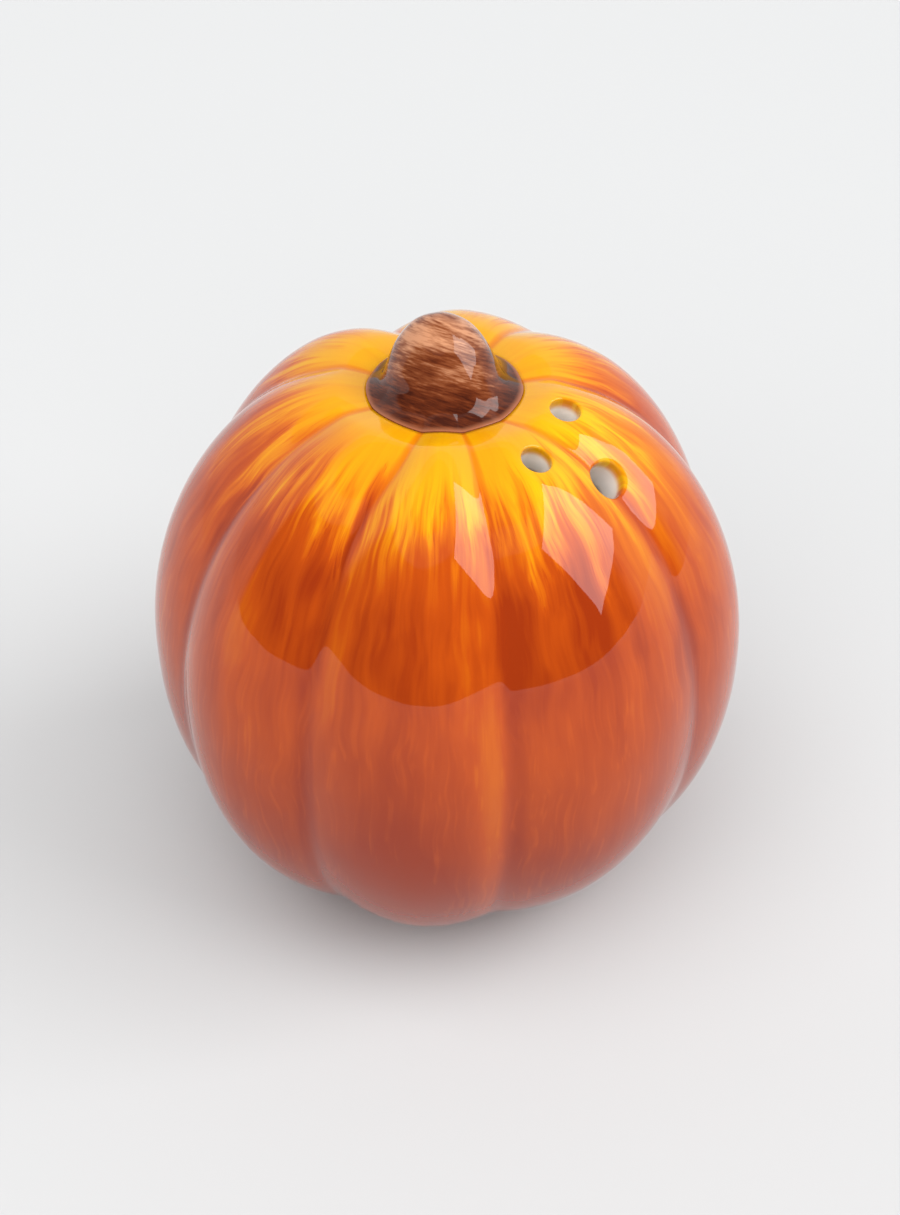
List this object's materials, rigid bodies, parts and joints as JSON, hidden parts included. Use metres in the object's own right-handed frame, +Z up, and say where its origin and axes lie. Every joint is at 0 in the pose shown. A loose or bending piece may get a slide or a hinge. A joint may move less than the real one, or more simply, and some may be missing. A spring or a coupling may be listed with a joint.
{
  "type": "ceramic pumpkin shaker",
  "caption": "Glazed ceramic pumpkin table shaker: hollow lobed body with pour holes in the crown, brown stem, and a soft pull-out stopper under the foot.",
  "frame": {"origin": "centre of the underside, on the plane that the foot ring stands on", "axes": "+Z up through the stem; -Y towards the front, the side from which the pour holes lie right of the stem"},
  "size_m": [0.0714, 0.0719, 0.0779],
  "materials": {
    "painted_glaze": "high-gloss clear glaze over brushed yellow, orange and red underglaze",
    "stem_glaze": "high-gloss clear glaze over brushed brown",
    "soft_stopper": "satin moulded soft plastic"
  },
  "bodies": {
    "shaker": {"body": "painted_glaze", "stem": "stem_glaze"},
    "stopper": {"stopper": "soft_stopper"}
  },
  "joints": [
    {"name": "stopper_pull", "type": "slide", "parent": "shaker", "child": "stopper", "axis": [0, 0, -1], "range_m": [0, 0.03]}
  ]
}
